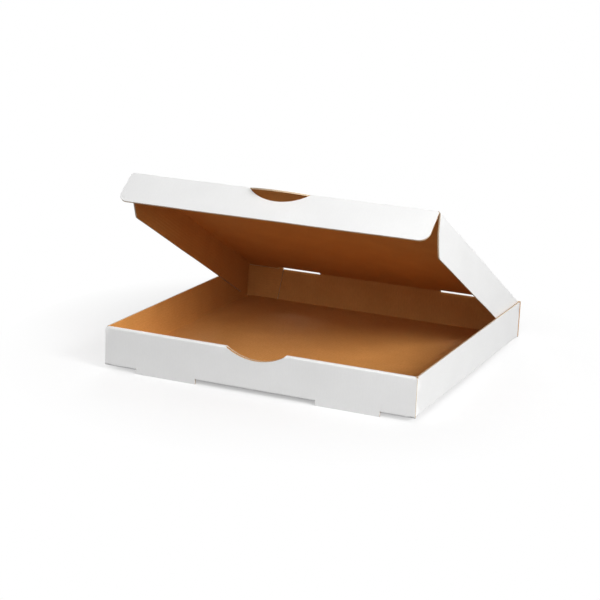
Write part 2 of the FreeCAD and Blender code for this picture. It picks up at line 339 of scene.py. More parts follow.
class Sheet:
    """A folded sheet while it is meshed, panel by panel."""

    def __init__(self):
        self.points = []
        self.blank = []
        self.faces = []
        self.skins = []

    def panel(self, loops, us, vs, place):
        """Adds a region of the blank: its outline and holes, meshed with grid lines at us and vs.

        A loop's point (u, v, True) starts an edge that is joined to another panel. place carries
        a point of the blank, and its height through the board, to the folded box.
        """
        rings, joined = [], []
        for loop in loops:
            ring, flags = [], []
            for here, there in zip(loop, loop[1:] + loop[:1]):
                stops = [here[:2]] + crossings(here[:2], there[:2], us, vs)
                ring += stops
                flags += [len(here) > 2] * len(stops)
            rings.append(ring)
            joined.append(flags)
        grid = np.array([(u, v) for u in us for v in vs])
        grid = grid[inside(grid, rings) & ~near_edge(grid, rings, EDGE_SPACE * GRID)]
        flat = [Vector(p) for ring in rings for p in ring] + [Vector(p) for p in grid]
        edges, first = [], 0
        for ring in rings:
            edges += [(first + i, first + (i + 1) % len(ring)) for i in range(len(ring))]
            first += len(ring)
        out = geometry.delaunay_2d_cdt(flat, edges, [], 0, TOUCH)
        spots = np.array([tuple(p) for p in out[0]])
        triangles = np.array(out[2])
        triangles = triangles[inside(spots[triangles].mean(axis=1), rings) & has_area(spots, triangles)]
        self.skin(spots, triangles, place)
        self.cut_edges(rings, joined, place)

    def skin(self, spots, triangles, place):
        """Adds the white and the brown side of a panel."""
        for side, skin in ((HALF, WHITE), (-HALF, BROWN)):
            start = len(self.points)
            self.points += [place(u, v, side) for u, v in spots]
            self.blank += [(u, v, side) for u, v in spots]
            self.faces += [tuple(int(i) + start for i in t) for t in triangles]
            self.skins += [skin] * len(triangles)

    def cut_edges(self, rings, joined, place):
        """Adds the cut edges between the two sides."""
        for ring, flags in zip(rings, joined):
            start = len(self.points)
            for u, v in ring:
                for side in (HALF, -HALF):
                    self.points.append(place(u, v, side))
                    self.blank.append((u, v, side))
            for i, flag in enumerate(flags):
                if flag:
                    continue
                a, b = start + 2 * i, start + 2 * ((i + 1) % len(ring))
                self.faces.append((a, b, b + 1, a + 1))
                self.skins.append(CUT)

    def tube(self, section, blank, skins, stations):
        """Adds a closed bar: a section of (y, z) points that runs through the stations.

        A station gives its x as a function of a point's index. skins has one skin for each
        side of the section.
        """
        start = len(self.points)
        count = len(section)
        for station in stations:
            for i, (y, z) in enumerate(section):
                x = station(i)
                self.points.append(Vector((x, y, z)))
                self.blank.append((x, *blank[i]))
        for k in range(len(stations) - 1):
            for i in range(count):
                j = (i + 1) % count
                a, b = start + k * count, start + (k + 1) * count
                self.faces.append((a + i, a + j, b + j, b + i))
                self.skins.append(skins[i])
        for k in (0, len(stations) - 1):
            self.faces.append(tuple(start + k * count + i for i in range(count)))
            self.skins.append(CUT)

    def build(self, name):
        """Makes the object: welded, with its normals out, smooth over folds and sharp at cut edges."""
        mesh = bpy.data.meshes.new(name)
        mesh.from_pydata([p * METRE for p in self.points], [], self.faces)
        for skin in SKINS:
            mesh.materials.append(bpy.data.materials[skin])
        mesh.polygons.foreach_set("material_index", self.skins)
        mesh.polygons.foreach_set("use_smooth", [True] * len(self.faces))
        blank = mesh.attributes.new("blank", "FLOAT_VECTOR", "POINT")
        blank.data.foreach_set("vector", np.array(self.blank, np.float32).ravel())
        work = bmesh.new()
        work.from_mesh(mesh)
        bmesh.ops.remove_doubles(work, verts=work.verts, dist=WELD * METRE)
        bmesh.ops.recalc_face_normals(work, faces=work.faces)
        bmesh.ops.triangulate(work, faces=[f for f in work.faces if len(f.verts) > 4])
        work.to_mesh(mesh)
        work.free()
        mesh.set_sharp_from_angle(angle=math.radians(SHARP_ANGLE))
        piece = bpy.data.objects.new(name, mesh)
        bpy.context.scene.collection.objects.link(piece)
        return piece


def stand_for(piece, body, node):
    """Puts a piece in the place of a solid."""
    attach(piece, body)
    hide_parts(node)


def soft_step(share):
    """0 below 0, 1 above 1, and smooth between."""
    share = min(1.0, max(0.0, share))
    return share * share * (3 - 2 * share)


def relief(u, v, size, folds_u, folds_v, reach=PANEL_REACH, seed=0.0):
    """A slight, uneven sinking in of the board, as a height below 0, and none at its folds."""
    held = 1.0
    for f in folds_u:
        held *= soft_step(abs(u - f) / reach)
    for f in folds_v:
        held *= soft_step(abs(v - f) / reach)
    wave = noise.noise(Vector((u / WAVE_LENGTH, v / WAVE_LENGTH, seed)))
    fine_spot = Vector((FINE_WAVE * u / WAVE_LENGTH, FINE_WAVE * v / WAVE_LENGTH, seed + 7))
    wave += FINE_SHARE * noise.noise(fine_spot)
    return size * held * min(0.0, wave - WAVE_TOP)


def segment_disc(width, depth):
    """Radius of a circular segment, and distance of its centre behind the chord."""
    radius = (width * width / 4 + depth * depth) / (2 * depth)
    return radius, radius - depth


def mirrored(loop):
    """The loop on the other side of the box, with its joined edges kept."""
    flipped = [(-p[0], p[1]) for p in reversed(loop)]
    flags = [len(p) > 2 for p in reversed(loop[-1:] + loop[:-1])]
    return [p + (True,) if flag else p for p, flag in zip(flipped, flags)]


def both_halves(right):
    """A whole outline from its right half, whose ends lie on either side of the middle."""
    joined = [len(p) > 2 for p in right]
    left = [(-p[0], p[1]) for p in reversed(right)]
    flags = joined[:-1][::-1] + [False]
    return right + [p + (True,) if flag else p for p, flag in zip(left, flags)]


def rounded(points, corners, radius):
    """A polygon with the corners at some indices rounded."""
    result = []
    for i, p in enumerate(points):
        if i not in corners:
            result.append(p)
            continue
        p, before, after = Vector(p), Vector(points[i - 1]), Vector(points[(i + 1) % len(points)])
        a, b = (before - p).normalized(), (after - p).normalized()
        half = a.angle(b) / 2
        centre = p + (a + b).normalized() * radius / math.sin(half)
        first = p + a * radius / math.tan(half) - centre
        last = p + b * radius / math.tan(half) - centre
        sweep = first.angle_signed(last)
        for k in range(CORNER_STEPS + 1):
            turned = first.copy()
            turned.rotate(Matrix.Rotation(-sweep * k / CORNER_STEPS, 2))
            result.append(tuple(centre + turned))
    return result


# Tray: the strip from the front wall's inner layer over the base to the back wall, and the side walls

WALL_FLAT = RIM - CREASE_OUTER
BASE_EDGE = SIDE - CREASE_OUTER
SPINE_START = FRONT + CREASE_OUTER - (
    WALL_FLAT - ROLL_FOOT + 3 * CREASE_ARC + 2 * LAYER_STEP - 2 * CREASE_MID
    + WALL_FLAT - BASE_LOW - CREASE_OUTER
)
SPINE = Path(
    (INNER_LAYER_Y, ROLL_FOOT),
    90,
    [
        ("flat", WALL_FLAT - ROLL_FOOT),
        ("crease", 90),
        ("flat", 2 * LAYER_STEP - 2 * CREASE_MID),
        ("crease", 90),
        ("flat", WALL_FLAT - BASE_LOW - CREASE_OUTER),
        ("crease", 90),
        ("flat", BACK - FRONT - 2 * CREASE_OUTER),
        ("crease", 90),
        ("flat", RIM - BASE_LOW - CREASE_OUTER),
    ],
    origin=SPINE_START,
)
INNER_RIM, OUTER_RIM, FRONT_FOOT, BACK_FOOT = SPINE.folds
WALL = Path(
    (BASE_EDGE, BASE_LOW + HALF),
    0,
    [("flat", STUB), ("crease", 90), ("flat", RIM - BASE_LOW - CREASE_OUTER)],
    origin=BASE_EDGE,
)
WALL_TOP = WALL.high


def back_wall_v(z):
    """Blank coordinate of a height on the back wall."""
    return BACK_FOOT[1] + z - BASE_LOW - CREASE_OUTER


def inner_layer_v(z):
    """Blank coordinate of a height on the inner layer of the front wall."""
    return SPINE_START + z - ROLL_FOOT


def front_wall_v(z):
    """Blank coordinate of a height on the outer layer of the front wall."""
    return OUTER_RIM[1] + WALL_FLAT - z


def wall_u(z):
    """Blank coordinate of a height on the right side wall."""
    return WALL_TOP - (RIM - z)


def corner_flap_v(x):
    """How far along the blank a place on a corner flap is, from its distance to the box's middle."""
    return CORNER_FOLD + CREASE_ARC + (SIDE - HALF - CREASE_MID - x)


def front_kink(u, v):
    """How far the front wall's outer layer is pressed in, which is nothing at its rim and foot."""
    if not OUTER_RIM[1] < v < FRONT_FOOT[0]:
        return 0.0
    below_rim = soft_step((v - OUTER_RIM[1]) / KINK_BELOW_RIM)
    above_foot = soft_step((FRONT_FOOT[0] - v) / KINK_ABOVE_FOOT)
    return FRONT_KINK * (below_rim * above_foot) * soft_step((TONGUE[0] + KINK_END - u) / KINK_FADE)


def spine_place(u, v, through):
    """Place of a point of the strip from the front wall's inner layer to the back wall."""
    folds = [f for pair in SPINE.folds for f in pair]
    on_base = FRONT_FOOT[1] < v < BACK_FOOT[0]
    size, reach = (BASE_RELIEF, PANEL_REACH) if on_base else (FRONT_RELIEF, WALL_REACH)
    bump = relief(u, v, size, (-BASE_EDGE, BASE_EDGE), folds, reach) - front_kink(u, v)
    y, z = SPINE.at(v, through + bump)
    return Vector((u, y, z))


def tongue_place(u, v, through):
    """Place of a point of a tongue, which runs straight down from the front wall."""
    return Vector((u, FRONT + HALF - through, FRONT_FOLD_TOP - (v - FRONT_FOOT[0])))


def wall_place(side):
    """Gives the place of points of the right (1) or left (-1) side wall."""

    def place(u, v, through):
        folds = [side * f for f in WALL.folds[0]]
        bump = relief(u, v, WALL_RELIEF, folds, (-CORNER_FOLD, CORNER_FOLD), WALL_REACH, seed=side)
        x, z = WALL.at(abs(u), through + bump)
        return Vector((side * x, v, z))

    return place


def corner_flap_place(side, way):
    """Gives the place of points of a side wall's front (way -1) or back (way 1) corner flap."""
    path = Path(
        (SIDE - HALF, way * CORNER_FOLD),
        90 * way,
        [("flat", STUB), ("crease", 90 * way), ("flat", CORNER_FLAP)],
        origin=CORNER_FOLD,
        outer=way,
    )

    def place(u, v, through):
        x, y = path.at(abs(v), through)
        return Vector((side * x, y, RIM - (WALL_TOP - abs(u))))

    return place


def thumb_notch_loop():
    """Hole in the blank that folds into the notch in the front wall's rim."""
    radius, behind = segment_disc(THUMB_NOTCH_WIDTH, THUMB_NOTCH_DEPTH)
    centre = RIM + behind
    edge = math.acos((centre - WALL_FLAT) / radius)
    turns = [edge * i / ARC_STEPS for i in range(ARC_STEPS + 1)]
    down = [(radius * math.sin(t), front_wall_v(centre - radius * math.cos(t))) for t in turns]
    up = [(radius * math.sin(t), inner_layer_v(centre - radius * math.cos(t))) for t in reversed(turns)]
    over = []
    stops = fold_lines([OUTER_RIM])[1:-3] + fold_lines([INNER_RIM])[1:-2]
    for v in sorted(stops, reverse=True):
        z = SPINE.at(v, 0)[1]
        over.append((math.sqrt(radius * radius - (centre - z) ** 2), v))
    right = down + [p for p in over if INNER_RIM[0] < p[1] < OUTER_RIM[1]] + up
    return right + [(-u, v) for u, v in reversed(right[1:-1])]


def spine_outline():
    """Right half of the strip's outline, from the foot of the front wall's inner layer to the back."""
    inner, outer = TONGUE
    tab_low = inner_layer_v(LOCK_TAB_LOW)
    tab_shoulder = inner_layer_v(BASE_LOW)
    wide = OUTER_RIM[0] + CREASE_ARC / 2
    shoulder = LID_SIDE + HINGE_END_GAP
    hinge = back_wall_v(HINGE_Z - CREASE_REACH)
    slot = back_wall_v(SLOT_FOOT)
    return [
        (inner, SPINE_START),
        (inner, tab_shoulder),
        (inner + LOCK_TAB_SLANT, tab_low),
        (outer - LOCK_TAB_SLANT, tab_low),
        (outer, tab_shoulder),
        (outer, SPINE_START),
        (ROLL_HALF_WIDTH, SPINE_START),
        (ROLL_HALF_WIDTH, wide),
        (SIDE, wide),
        (SIDE, FRONT_FOOT[1]),
        (BASE_EDGE, FRONT_FOOT[1]),
        (BASE_EDGE, -CORNER_FOLD, True),
        (BASE_EDGE, CORNER_FOLD),
        (BASE_EDGE, BACK_FOOT[0]),
        (SIDE, BACK_FOOT[0]),
        (SIDE, back_wall_v(RIM)),
        (shoulder, back_wall_v(RIM)),
        (shoulder, hinge),
        (SLOT_OUTER, hinge),
        (SLOT_OUTER, slot),
        (SLOT_INNER, slot),
        (SLOT_INNER, hinge),
    ]


def ear_outline():
    """Free end of a back corner flap, from its foot up over its ear.

    The points are (distance to the box's middle, height).
    """
    end = CORNER_FLAP_END
    share = (CORNER_FLAP_TOP - CORNER_FLAP_LOW) / (CORNER_FLAP_TOP - BASE_TOP)
    ear_shoulder = EAR_TOP - EAR_CORNER
    points = [(end + BACK_FLAP_SLANT * share, CORNER_FLAP_LOW)]
    points += [(end, CORNER_FLAP_TOP), (end, ear_shoulder)]
    for x, start in ((end + EAR_CORNER, 180), (end + EAR_WIDTH - EAR_CORNER, 90)):
        for i in range(1, EAR_STEPS):
            a = math.radians(start - 90 * i / EAR_STEPS)
            points.append((x + EAR_CORNER * math.cos(a), ear_shoulder + EAR_CORNER * math.sin(a)))
    points += [(end + EAR_WIDTH, ear_shoulder), (end + EAR_WIDTH, CORNER_FLAP_TOP)]
    return points


def add_spine(sheet, vs):
    """Adds the strip from the front wall's inner layer to the back wall, and the two tongues."""
    us = grid_lines(-SIDE, SIDE, fold_lines([(-BASE_EDGE, -BASE_EDGE), (BASE_EDGE, BASE_EDGE)]))
    inner, outer = TONGUE
    root = FRONT_FOOT[0]
    tip = root + FRONT_FOLD_TOP
    slot = [
        (inner - CUT_GAP, root),
        (inner, root, True),
        (outer, root),
        (outer + CUT_GAP, root),
        (outer + CUT_GAP, LOCK_SLOT_BACK),
        (inner - CUT_GAP, LOCK_SLOT_BACK),
    ]
    tongue = [(inner, root, True), (outer, root), (outer, tip), (inner, tip)]
    loops = [both_halves(spine_outline()), thumb_notch_loop(), slot, mirrored(slot)]
    sheet.panel(loops, us, vs, spine_place)
    for loop in (tongue, mirrored(tongue)):
        sheet.panel([loop], us, [root + TONGUE_LINE], tongue_place)


def add_side_walls(sheet, vs):
    """Adds the two side walls, each with its front and its back corner flap."""
    low, top = wall_u(CORNER_FLAP_LOW), wall_u(CORNER_FLAP_TOP)
    flap_end = corner_flap_v(CORNER_FLAP_END)
    wall_us = grid_lines(BASE_EDGE, WALL_TOP, fold_lines(WALL.folds) + [low, top])
    wall = [
        (BASE_EDGE, CORNER_FOLD, True),
        (BASE_EDGE, -CORNER_FOLD),
        (low, -CORNER_FOLD, True),
        (top, -CORNER_FOLD),
        (WALL_TOP, -CORNER_FOLD),
        (WALL_TOP, CORNER_FOLD),
        (top, CORNER_FOLD, True),
        (low, CORNER_FOLD),
    ]
    front_flap = [(low, -CORNER_FOLD), (low, -flap_end), (top, -flap_end), (top, -CORNER_FOLD, True)]
    back_flap = [(top, CORNER_FOLD, True), (low, CORNER_FOLD)]
    back_flap += [(wall_u(z), corner_flap_v(x)) for x, z in ear_outline()]
    flap_us = [u for u in wall_us if low < u < WALL_TOP] + [WALL_TOP]
    flap_vs = grid_lines(CORNER_FOLD, flap_end, fold_lines([(CORNER_FOLD, CORNER_FOLD + CREASE_ARC)]))
    for side in (1, -1):
        wall_lines = [side * u for u in wall_us]
        flap_lines = [side * u for u in flap_us]
        if side < 0:
            wall, front_flap, back_flap = (mirrored(loop) for loop in (wall, front_flap, back_flap))
        sheet.panel([wall], wall_lines, vs, wall_place(side))
        sheet.panel([front_flap], flap_lines, [-v for v in flap_vs], corner_flap_place(side, -1))
        sheet.panel([back_flap], flap_lines, flap_vs, corner_flap_place(side, 1))


def make_tray():
    """Base, four walls, roll-over, tongues, lock tabs and corner flaps."""
    sheet = Sheet()
    folds = fold_lines(SPINE.folds) + [-CORNER_FOLD, CORNER_FOLD]
    vs = grid_lines(inner_layer_v(0), back_wall_v(RIM), folds)
    add_spine(sheet, vs)
    add_side_walls(sheet, vs)
    stand_for(sheet.build("tray_sheet"), "tray_body", "tray")


# Lid and tuck flap: shaped in the closed box and then opened

LID_DROP = HINGE_Z - CREASE_MID - SIDE_FLAP_LOW
LID = Path(
    (-LID_SIDE + HALF, SIDE_FLAP_LOW),
    90,
    [
        ("flat", LID_DROP),
        ("crease", -90),
        ("flat", 2 * LID_EDGE),
        ("crease", -90),
        ("flat", LID_DROP),
    ],
    origin=-(LID_DROP + CREASE_ARC + LID_SIDE - CREASE_OUTER),
    outer=-1,
)
LID_FOLDS = LID.folds[0] + LID.folds[1]
HINGE = Vector((0, HINGE_Y, HINGE_Z))
LID_TURN = Matrix.Rotation(math.radians(-LID_OPEN), 4, "X")
OPEN = Matrix.Translation(HINGE) @ LID_TURN @ Matrix.Translation(-HINGE)
LIP_RADIUS, LIP_BEHIND = segment_disc(LIP_WIDTH, LIP_DEPTH)
NOTCH_RADIUS = LIP_RADIUS + CUT_GAP


def lid_place(u, v, through):
    """Place of a point of the lid, its side flaps and its lip, in the open lid."""
    bump = relief(u, v, LID_RELIEF, LID_FOLDS, (FOLD_Y, HINGE_Y), seed=3)
    droop = LIP_DROOP * max(0.0, FOLD_Y - v)
    x, z = LID.at(u, through + bump - droop)
    return OPEN @ Vector((x, v, z))


def flap_place(u, v, through):
    """Place of a point of the tuck flap, flared out from the open lid."""
    bend = math.radians(90 - FLAP_FLARE)
    reach = FOLD_Y - v
    off = through + relief(u, v, FLAP_RELIEF, (), (FOLD_Y,), FLAP_REACH, seed=5)
    y = FOLD_Y - reach * math.cos(bend) - off * math.sin(bend)
    z = HINGE_Z - reach * math.sin(bend) + off * math.cos(bend)
    return OPEN @ Vector((u, y, z))


def side_flap_u(z):
    """Blank coordinate of a height on the lid's right side flap, closed."""
    return LID.high - (z - SIDE_FLAP_LOW)


def arc_point(radius, turn):
    """Point of the blank on a circle round the lip's centre, at an angle from its tip."""
    return radius * math.sin(turn), FOLD_Y + LIP_BEHIND - radius * math.cos(turn)


def side_flap_loop():
    """Outline of the lid's right side flap, from the lid's edge in front round to it behind."""
    back_y = BACK - BOARD - LAYER_STEP - LID_BACK_GAP
    front_y = FOLD_Y + SIDE_FLAP_NECK
    shoulder = RIM - SIDE_FLAP_SHOULDER
    cut_turn = math.asin((RIM - BOARD - (HINGE_Z - CREASE_MID)) / CREASE_MID)
    cut_u = LID.folds[1][1] - CREASE_MID * cut_turn
    flap = [
        (cut_u, front_y + SIDE_FLAP_TAPER * BOARD / (RIM - shoulder)),
        (side_flap_u(shoulder), front_y + SIDE_FLAP_TAPER),
        (side_flap_u(SIDE_FLAP_LOW), front_y + SIDE_FLAP_TAPER + shoulder - SIDE_FLAP_LOW),
        (side_flap_u(SIDE_FLAP_LOW), back_y - SIDE_FLAP_BACK_TAPER),
        (cut_u, back_y - SIDE_FLAP_BACK_TAPER * (BOARD / (RIM - SIDE_FLAP_LOW))),
    ]
    return rounded(flap, (1, 2), SIDE_FLAP_SOFTEN)


def lid_outline():
    """Right half of the lid with its side flap, from the middle of the lip to the hinge."""
    edge = math.asin(LIP_WIDTH / 2 / LIP_RADIUS)
    lip = [arc_point(LIP_RADIUS, edge * i / ARC_STEPS) for i in range(1, ARC_STEPS + 1)]
    side_flap = side_flap_loop()
    cut_u = side_flap[0][0]
    front = FOLD_Y + CREASE_REACH
    notch_end = math.sqrt(NOTCH_RADIUS**2 - (LIP_BEHIND - CREASE_REACH) ** 2)
    hinge = HINGE_Y - CREASE_REACH
    slot = HINGE_Y - LID_SLOT_DEPTH
    lip_root = (lip[-1][0] + LIP_ROOT_SPREAD, front)
    front_edge = [lip_root, (notch_end, front), (LID_EDGE, front), (cut_u, front)]
    hinge_slot = [(SLOT_OUTER, hinge), (SLOT_OUTER, slot), (SLOT_INNER, slot), (SLOT_INNER, hinge)]
    return lip + front_edge + side_flap + [(cut_u, hinge)] + hinge_slot


def make_lid():
    """Lid panel, side flaps and lip."""
    sheet = Sheet()
    us = grid_lines(LID.low, LID.high, fold_lines(LID.folds))
    vs = grid_lines(FOLD_Y - LIP_DEPTH, HINGE_Y - CREASE_REACH, [FOLD_Y])
    tip = arc_point(LIP_RADIUS, 0.0)
    sheet.panel([[tip] + both_halves(lid_outline())], us, vs, lid_place)
    stand_for(sheet.build("lid_sheet"), "lid_body", "lid")


def make_flap():
    """Tuck flap, with the notch that the lip leaves in it."""
    sheet = Sheet()
    top = FOLD_Y - CREASE_REACH
    low = FOLD_Y - (HINGE_Z - SIDE_FLAP_LOW)
    edge = math.acos((LIP_BEHIND + CREASE_REACH) / NOTCH_RADIUS)
    notch = [arc_point(NOTCH_RADIUS, -edge * i / ARC_STEPS) for i in range(-ARC_STEPS, ARC_STEPS + 1)]
    half = FLAP_HALF_WIDTH
    outline = rounded([(-half, top), (-half, low), (half, low), (half, top)], (1, 2), FLAP_CORNER)
    sheet.panel([outline + notch], grid_lines(-half, half), grid_lines(low, top), flap_place)
    stand_for(sheet.build("flap_sheet"), "flap_body", "front_flap")


# Moving creases

def crease_section(axis, first, bend):
    """Section of a moving crease round its axis: points, blank coordinates from the axis, and skins.

    first is the heading of the still side away from the axis, and bend how far the board is folded.
    The white side turns on a round, and the brown side bulges a little into the fold, as a score does.
    """
    second = first + 180 + bend
    corner = math.hypot(CREASE_REACH, HALF)
    lean = math.degrees(math.atan2(HALF, CREASE_REACH))

    def spot(heading, radius):
        a = math.radians(heading)
        return axis[0] + radius * math.cos(a), axis[1] + radius * math.sin(a)

    points = [spot(first + lean, corner)]
    blank = [(-CREASE_REACH, HALF)]
    for i in range(ROUND_STEPS + 1):
        points.append(spot(first + 90 + bend * i / ROUND_STEPS, HALF))
        blank.append((0.0, HALF))
    points.append(spot(second - lean, corner))
    blank.append((CREASE_REACH, HALF))
    skins = [WHITE] * (len(points) - 1) + [CUT]
    start, stop = second + lean, first + 360 - lean
    for i in range(CREASE_STEPS + 1):
        points.append(spot(start + (stop - start) * i / CREASE_STEPS, corner))
        blank.append((CREASE_REACH * (1 - 2 * i / CREASE_STEPS), -HALF))
        skins.append(BROWN)
    skins[-1] = CUT
    return points, blank, skins


def stations(low, high):
    """Positions across the box for a crease; low depends on the point's index."""
    count = max(2, round(abs(high - low(0)) / GRID))
    return [lambda i, s=k / count: low(i) + (high - low(i)) * s for k in range(count + 1)]


def blend_crease(piece, first, bend):
    """Bakes the crease's placement into its mesh."""
    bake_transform(piece)


def make_hinge_crease():
    """Crease between the back wall and the lid, in three lengths beside and between the slots."""
    sheet = Sheet()
    first, bend = -90, 90 - LID_OPEN
    points, blank, skins = crease_section((HINGE_Y, HINGE_Z), first, bend)
    blank = [(back_wall_v(HINGE_Z) + v, w) for v, w in blank]
    for low, high in ((-LID_SIDE, -SLOT_OUTER), (-SLOT_INNER, SLOT_INNER), (SLOT_OUTER, LID_SIDE)):
        sheet.tube(points, blank, skins, stations(lambda i, x=low: x, high))
    piece = sheet.build("hinge_crease")
    blend_crease(piece, first, bend)


def make_fold_crease():
    """Crease between the lid and the tuck flap, on either side of the lip."""
    sheet = Sheet()
    along = OPEN.to_3x3() @ Vector((0, 1, 0))
    axis = OPEN @ Vector((0, FOLD_Y, HINGE_Z))
    first, bend = math.degrees(math.atan2(along.z, along.y)), 90 - FLAP_FLARE
    points, blank, skins = crease_section((axis.y, axis.z), first, bend)
    ends = [math.sqrt(NOTCH_RADIUS**2 - (LIP_BEHIND + v) ** 2) for v, w in blank]
    blank = [(FOLD_Y - v, w) for v, w in blank]
    sheet.tube(points, blank, skins, stations(lambda i: ends[i], LID_EDGE))
    sheet.tube(points, blank, skins, stations(lambda i: -ends[i], -LID_EDGE))
    piece = sheet.build("fold_crease")
    blend_crease(piece, first, bend)


# Materials

class Nodes:
    """A short way to write a node tree: a call adds a node and gives one of its outputs."""

    def __init__(self, tree):
        self.tree = tree

    def link(self, output, socket):
        """Leads an output into a socket, and adds no node."""
        self.tree.links.new(output, socket)

    def add(self, kind, inputs=(), output=0, **settings):
        """inputs are pairs of a socket's name or number and a value or another node's output."""
        node = self.tree.nodes.new("ShaderNode" + kind)
        for key, value in settings.items():
            setattr(node, key, value)
        for key, value in inputs:
            if isinstance(value, bpy.types.NodeSocket):
                self.link(value, node.inputs[key])
            else:
                node.inputs[key].default_value = value
        return node.outputs[output]

    def math(self, operation, *values):
        return self.add("Math", list(enumerate(values)), operation=operation)

    def vector(self, x, y, z):
        return self.add("CombineXYZ", [(0, x), (1, y), (2, z)])

    def noise(self, vector, scale, detail=3.0, roughness=0.55):
        inputs = [("Vector", vector), ("Scale", scale), ("Detail", detail), ("Roughness", roughness)]
        return self.add("TexNoise", inputs)

    def spread(self, value, low, high, to_low=0.0, to_high=1.0):
        """The value's range from low to high, stretched and held to another range."""
        inputs = [("Value", value), ("From Min", low), ("From Max", high)]
        return self.add("MapRange", inputs + [("To Min", to_low), ("To Max", to_high)])

    def mix(self, share, a, b):
        """Between two colours."""
        node = self.tree.nodes.new("ShaderNodeMix")
        node.data_type = "RGBA"
        for socket, value in ((node.inputs[0], share), (node.inputs[6], a), (node.inputs[7], b)):
            if isinstance(value, bpy.types.NodeSocket):
                self.link(value, socket)
            elif socket.type == "RGBA":
                socket.default_value = (*value, 1)
            else:
                socket.default_value = value
        return node.outputs[2]


def new_material(name):
    """A new material: the material itself, its nodes and its shader."""
    material = bpy.data.materials.new(name)
    material.use_nodes = True
    return material, Nodes(material.node_tree), material.node_tree.nodes["Principled BSDF"]


def paper(name):
    """Nodes and shader of a new paper, and the blank's coordinates in millimetres."""
    nodes, shader = new_material(name)[1:]
    blank = nodes.add("Attribute", output=1, attribute_name="blank")
    split = nodes.tree.nodes.new("ShaderNodeSeparateXYZ")
    nodes.link(blank, split.inputs[0])
    return nodes, shader, split.outputs


def flute_wave(nodes, across):
    """Height of the fluting that shows through a liner, from -1 to 1."""
    return nodes.math("SINE", nodes.math("MULTIPLY", across, 2 * math.pi / FLUTE_PITCH))


def raise_surface(nodes, shader, height, distance):
    """Gives the shader small bumps, with a distance in millimetres."""
    bump = nodes.add("Bump", [("Height", height), ("Distance", distance * METRE), ("Strength", 1.0)])
    nodes.link(bump, shader.inputs["Normal"])


def white_liner():
    """Smooth bleached paper: faint fibres and clouds, and the fluting just to be seen."""
    nodes, shader, (u, v, w) = paper("white_liner")
    clouds = nodes.noise(nodes.vector(u, v, w), scale=0.02, detail=2.0)
    along = nodes.math("MULTIPLY", v, 0.3)
    fibres = nodes.noise(nodes.vector(u, along, w), scale=0.9, detail=4.0)
    wave = flute_wave(nodes, u)
    tone = nodes.mix(nodes.spread(clouds, 0.3, 0.7), *BLEACHED)
    tone = nodes.mix(nodes.spread(fibres, 0.35, 0.75, 0.0, 0.25), tone, BLEACHED_FIBRE)
    nodes.link(tone, shader.inputs["Base Color"])
    nodes.link(nodes.spread(fibres, 0.3, 0.7, 0.5, 0.62), shader.inputs["Roughness"])
    shader.inputs["Specular IOR Level"].default_value = 0.3
    height = nodes.math("ADD", nodes.math("MULTIPLY", wave, 0.35), nodes.math("MULTIPLY", fibres, 0.5))
    raise_surface(nodes, shader, height, 0.03)


def brown_liner():
    """Unbleached paper: long fibres across the flutes, dark flecks, and clear fluting."""
    nodes, shader, (u, v, w) = paper("brown_liner")
    clouds = nodes.noise(nodes.vector(u, v, w), scale=0.03)
    along = nodes.math("MULTIPLY", v, 0.22)
    fibres = nodes.noise(nodes.vector(u, along, w), scale=1.1, detail=5.0, roughness=0.65)
    along = nodes.math("MULTIPLY", v, 0.5)
    flecks = nodes.noise(nodes.vector(u, along, 40.0), scale=0.7, detail=2.0)
    wave = flute_wave(nodes, u)
    tone = nodes.mix(nodes.spread(clouds, 0.3, 0.7), *KRAFT)
    tone = nodes.mix(nodes.spread(fibres, 0.35, 0.7, 0.0, 0.7), tone, KRAFT_FIBRE)
    tone = nodes.mix(nodes.spread(flecks, 0.66, 0.72, 0.0, 0.45), tone, KRAFT_FLECK)
    tone = nodes.mix(nodes.spread(wave, -1.0, 1.0, 0.0, 0.10), tone, KRAFT_FLUTE)
    nodes.link(tone, shader.inputs["Base Color"])
    nodes.link(nodes.spread(fibres, 0.3, 0.7, 0.68, 0.82), shader.inputs["Roughness"])
    height = nodes.math("ADD", nodes.math("MULTIPLY", wave, 0.5), fibres)
    raise_surface(nodes, shader, height, 0.05)


def cut_edge():
    """Edge of the board: the fluted medium between its two liners, with painted shade in the hollows
    beside it.
    """
    nodes, shader, (u, v, w) = paper("cut_edge")
    wave = nodes.math("MULTIPLY", flute_wave(nodes, u), HALF - 2 * LINER)
    off_wave = nodes.math("ABSOLUTE", nodes.math("SUBTRACT", w, wave))
    # painted shade: the open flute hollows beside the medium are darkened as if in shade
    hollow_shade = nodes.spread(off_wave, 0.5 * LINER, 1.3 * LINER)
    liner = nodes.spread(nodes.math("ABSOLUTE", w), HALF - 1.3 * LINER, HALF - 0.9 * LINER)
    through = nodes.math("MULTIPLY", w, 3.0)
    fibres = nodes.noise(nodes.vector(u, v, through), scale=1.4, detail=4.0)
    medium = nodes.mix(nodes.spread(fibres, 0.3, 0.7), *MEDIUM)
    between_liners = nodes.mix(hollow_shade, medium, HOLLOW_SHADE)
    white_side = nodes.spread(w, HALF - 1.8 * LINER, HALF - 1.2 * LINER)
    liner_tone = nodes.mix(white_side, medium, CUT_BLEACHED)
    nodes.link(nodes.mix(liner, between_liners, liner_tone), shader.inputs["Base Color"])
    shader.inputs["Roughness"].default_value = 0.88
    height = nodes.math("SUBTRACT", fibres, nodes.math("MULTIPLY", hollow_shade, 2.0))
    raise_surface(nodes, shader, height, 0.06)


# Floor, light and camera

def camera_ray(nodes):
    """1 where the camera looks at the surface itself, and 0 for light that it passes on."""
    return nodes.add("LightPath", output="Is Camera Ray")


